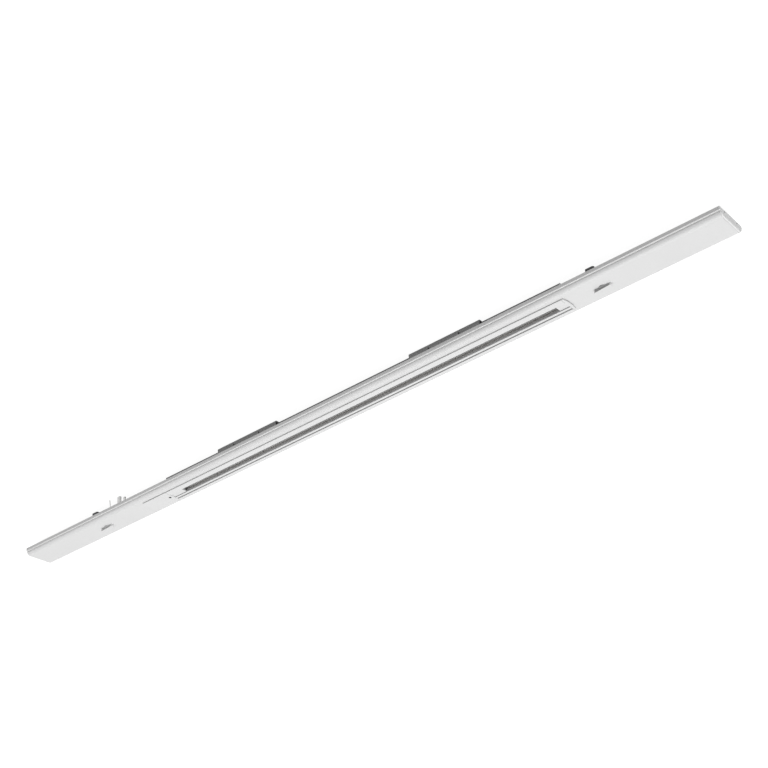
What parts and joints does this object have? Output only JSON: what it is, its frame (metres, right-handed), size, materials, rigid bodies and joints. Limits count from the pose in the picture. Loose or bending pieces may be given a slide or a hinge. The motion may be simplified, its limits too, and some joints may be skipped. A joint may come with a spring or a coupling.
{
  "type": "lighting track insert",
  "caption": "Long narrow white sheet-steel trunking insert with a slotted multi-circuit lighting track set in its face, end caps, quarter-turn latches and back brackets.",
  "frame": {"origin": "centre of the overall box, on the floor that the back brackets lie on", "axes": "+X along the insert from the feed end to the plain end, +Z out of the visible face"},
  "size_m": [1.477, 0.0644, 0.0381],
  "materials": {
    "white_steel": "satin white powder coat on folded sheet steel",
    "white_aluminium": "satin white powder coat on extruded aluminium",
    "white_plastic": "fine-textured white moulding",
    "track_plastic": "smooth white moulding",
    "grey_steel": "matt grey coat on sheet steel",
    "knob_plastic": "smooth white moulding",
    "black_plastic": "black glass-filled nylon",
    "connector_plastic": "light grey moulding",
    "insulator_plastic": "light grey extruded strip",
    "tinned_metal": "bright tin plate",
    "tinned_copper": "drawn copper with a dull tin coat"
  },
  "bodies": {
    "insert": {"tray": "white_steel", "end_cap_left": "white_plastic", "end_cap_right": "white_plastic", "track_profile": "white_aluminium", "feed_piece": "track_plastic", "track_end_cap": "track_plastic", "bracket_left": "grey_steel", "bracket_right": "grey_steel", "connector_housing": "connector_plastic", "contact_blade_wide": "tinned_metal", "contact_blade_narrow": "tinned_metal", "contact_pin": "tinned_metal", "insulator_near": "insulator_plastic", "insulator_far": "insulator_plastic", "conductor_near_upper": "tinned_copper", "conductor_near_lower": "tinned_copper", "conductor_far_upper": "tinned_copper", "conductor_far_lower": "tinned_copper"},
    "latch_left": {"latch_knob_left": "knob_plastic", "latch_bar_left": "black_plastic"},
    "latch_right": {"latch_knob_right": "knob_plastic", "latch_bar_right": "black_plastic"}
  },
  "joints": [
    {"name": "latch_left_turn", "type": "hinge", "parent": "insert", "child": "latch_left", "pos_m": [-0.5415, 0, 0.0322], "axis": [0, 0, 1], "range_deg": [0, 90]},
    {"name": "latch_right_turn", "type": "hinge", "parent": "insert", "child": "latch_right", "pos_m": [0.532, 0, 0.0322], "axis": [0, 0, 1], "range_deg": [0, 90]}
  ]
}
